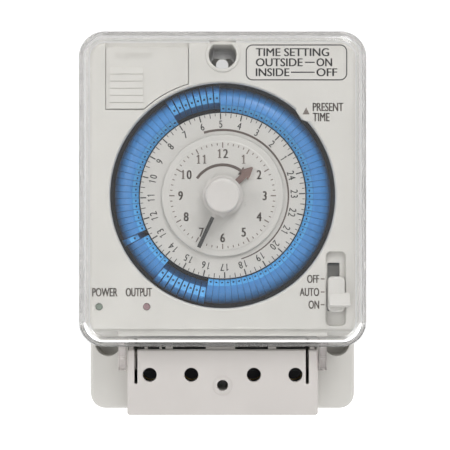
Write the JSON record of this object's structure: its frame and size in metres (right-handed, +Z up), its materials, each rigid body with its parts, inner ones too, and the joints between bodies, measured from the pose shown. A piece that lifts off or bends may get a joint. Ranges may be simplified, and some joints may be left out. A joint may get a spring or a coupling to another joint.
{
  "type": "programmable timer",
  "caption": "Wall-mounted daily time switch: a ring of small trippers round a clock face, a hinged clear cover, a mode selector and a covered terminal block.",
  "frame": {"origin": "centre of the flat back that lies on the wall, at half the timer's height", "axes": "+Z up the wall, +Y into the wall, +X to the right as seen by someone facing the dial"},
  "size_m": [0.0752, 0.052, 0.1003],
  "materials": {
    "grey_plastic": "satin",
    "clear_plastic": "clear polished",
    "blue_plastic": "satin",
    "white_plastic": "satin",
    "dark_plastic": "satin",
    "brown_paint": "satin",
    "cream_film": "gloss",
    "brass": "machined",
    "steel": "plated",
    "board_green": "satin",
    "green_lens": "moulded",
    "red_lens": "moulded"
  },
  "bodies": {
    "case": {"rear_housing": "grey_plastic", "front_case": "grey_plastic", "terminal_cover": "grey_plastic", "terminal_block": "dark_plastic", "battery_cell": "steel", "battery_contact_left": "steel", "battery_contact_right": "steel", "circuit_board": "board_green", "relay": "dark_plastic", "film_capacitor": "cream_film", "power_light_pipe": "green_lens", "output_light_pipe": "red_lens", "motor_can": "steel", "movement_plate": "steel", "dial_bridge": "white_plastic", "clock_face": "white_plastic", "microswitch_body": "dark_plastic", "lever_pin": "steel", "selector_switch": "dark_plastic", "terminal_cage_1": "brass", "terminal_screw_1": "steel", "case_screw_1": "steel", "terminal_cage_2": "brass", "terminal_screw_2": "steel", "case_screw_2": "steel", "terminal_cage_3": "brass", "terminal_screw_3": "steel", "case_screw_3": "steel", "terminal_cage_4": "brass", "terminal_screw_4": "steel", "case_screw_4": "steel"},
    "cover": {"clear_cover": "clear_plastic"},
    "lid": {"battery_lid": "grey_plastic"},
    "selector": {"selector_knob": "white_plastic"},
    "dial": {"dial_wheel": "white_plastic", "dial_plate": "white_plastic", "tripper_ring": "blue_plastic", "tripper_bank_long": "blue_plastic", "tripper_bank_short": "blue_plastic", "tripper_bank_middle": "blue_plastic", "tripper_bank_out": "blue_plastic"},
    "hour": {"hour_hand": "brown_paint"},
    "minute": {"minute_hand": "dark_plastic", "centre_knob": "white_plastic"},
    "transfer": {"transfer_wheel": "white_plastic"},
    "idler": {"idler_wheel": "white_plastic"},
    "motor_rotor": {"motor_pinion": "brass"},
    "lever": {"switch_lever": "white_plastic"},
    "plunger": {"microswitch_plunger": "red_lens"},
    "pin_single": {"tripper_single": "blue_plastic"},
    "pin_1": {"tripper_1": "blue_plastic"},
    "pin_2": {"tripper_2": "blue_plastic"},
    "pin_3": {"tripper_3": "blue_plastic"},
    "pin_4": {"tripper_4": "blue_plastic"},
    "pin_5": {"tripper_5": "blue_plastic"},
    "pin_6": {"tripper_6": "blue_plastic"},
    "pin_7": {"tripper_7": "blue_plastic"},
    "pin_8": {"tripper_8": "blue_plastic"}
  },
  "joints": [
    {"name": "cover_hinge", "type": "hinge", "parent": "case", "child": "cover", "pos_m": [0, -0.032, -0.0368], "axis": [1, 0, 0], "range_deg": [0, 92]},
    {"name": "battery_lid_slide", "type": "slide", "parent": "case", "child": "lid", "axis": [0, 0, 1], "range_m": [0, 0.0022]},
    {"name": "selector_slide", "type": "slide", "parent": "case", "child": "selector", "axis": [0, 0, 1], "range_m": [-0.0033, 0.0033]},
    {"name": "dial_spin", "type": "hinge", "parent": "case", "child": "dial", "pos_m": [0, 0, 0.0072], "axis": [0, 1, 0], "continuous": true},
    {"name": "hour_hand_spin", "type": "hinge", "parent": "case", "child": "hour", "pos_m": [0, 0, 0.0072], "axis": [0, 1, 0], "continuous": true},
    {"name": "minute_hand_spin", "type": "hinge", "parent": "case", "child": "minute", "pos_m": [0, 0, 0.0072], "axis": [0, 1, 0], "continuous": true},
    {"name": "transfer_spin", "type": "hinge", "parent": "case", "child": "transfer", "pos_m": [-0.01015, 0, 0.00351], "axis": [0, 1, 0], "continuous": true},
    {"name": "idler_spin", "type": "hinge", "parent": "case", "child": "idler", "pos_m": [0.0041, 0, 0.01848], "axis": [0, 1, 0], "continuous": true},
    {"name": "motor_spin", "type": "hinge", "parent": "case", "child": "motor_rotor", "pos_m": [0.0054, 0, -0.00215], "axis": [0, 1, 0], "continuous": true},
    {"name": "tripper_1_swing", "type": "hinge", "parent": "dial", "child": "pin_1", "pos_m": [-0.01206, -0.036, 0.02841], "axis": [0.8693, 0, 0.4943], "range_deg": [0, 32.6]},
    {"name": "tripper_2_swing", "type": "hinge", "parent": "dial", "child": "pin_2", "pos_m": [-0.01065, -0.036, 0.02915], "axis": [0.8997, 0, 0.4364], "range_deg": [0, 32.6]},
    {"name": "tripper_3_swing", "type": "hinge", "parent": "dial", "child": "pin_3", "pos_m": [-0.00919, -0.036, 0.0298], "axis": [0.9264, 0, 0.3766], "range_deg": [0, 32.6]},
    {"name": "tripper_4_swing", "type": "hinge", "parent": "dial", "child": "pin_4", "pos_m": [-0.00769, -0.036, 0.03036], "axis": [0.949, 0, 0.3152], "range_deg": [0, 32.6]},
    {"name": "tripper_5_swing", "type": "hinge", "parent": "dial", "child": "pin_5", "pos_m": [-0.00616, -0.036, 0.03081], "axis": [0.9676, 0, 0.2525], "range_deg": [0, 32.6]},
    {"name": "tripper_6_swing", "type": "hinge", "parent": "dial", "child": "pin_6", "pos_m": [-0.0046, -0.036, 0.03116], "axis": [0.982, 0, 0.1887], "range_deg": [0, 32.6]},
    {"name": "tripper_7_swing", "type": "hinge", "parent": "dial", "child": "pin_7", "pos_m": [-0.00303, -0.036, 0.03141], "axis": [0.9923, 0, 0.124], "range_deg": [0, 32.6]},
    {"name": "tripper_8_swing", "type": "hinge", "parent": "dial", "child": "pin_8", "pos_m": [-0.00144, -0.036, 0.03156], "axis": [0.9983, 0, 0.0589], "range_deg": [0, 32.6]},
    {"name": "tripper_single_swing", "type": "hinge", "parent": "dial", "child": "pin_single", "pos_m": [-0.02195, -0.036, -0.00345], "axis": [-0.4364, 0, 0.8997], "range_deg": [0, 32.6]},
    {"name": "lever_swing", "type": "hinge", "parent": "case", "child": "lever", "pos_m": [0.02874, -0.0395, 0.01881], "axis": [0, 1, 0], "range_deg": [0, 4], "stiffness_Nm_per_rad": 0.004},
    {"name": "plunger_slide", "type": "slide", "parent": "case", "child": "plunger", "axis": [0, 0, 1], "range_m": [0, 0.0014]}
  ],
  "couplings": [
    {"joint": "hour_hand_spin", "follows": "dial_spin", "ratio": 2},
    {"joint": "minute_hand_spin", "follows": "dial_spin", "ratio": 24},
    {"joint": "transfer_spin", "follows": "dial_spin", "ratio": -8},
    {"joint": "idler_spin", "follows": "dial_spin", "ratio": -2},
    {"joint": "motor_spin", "follows": "dial_spin", "ratio": -120},
    {"joint": "plunger_slide", "follows": "lever_swing", "m_per_rad": 0.0185}
  ]
}
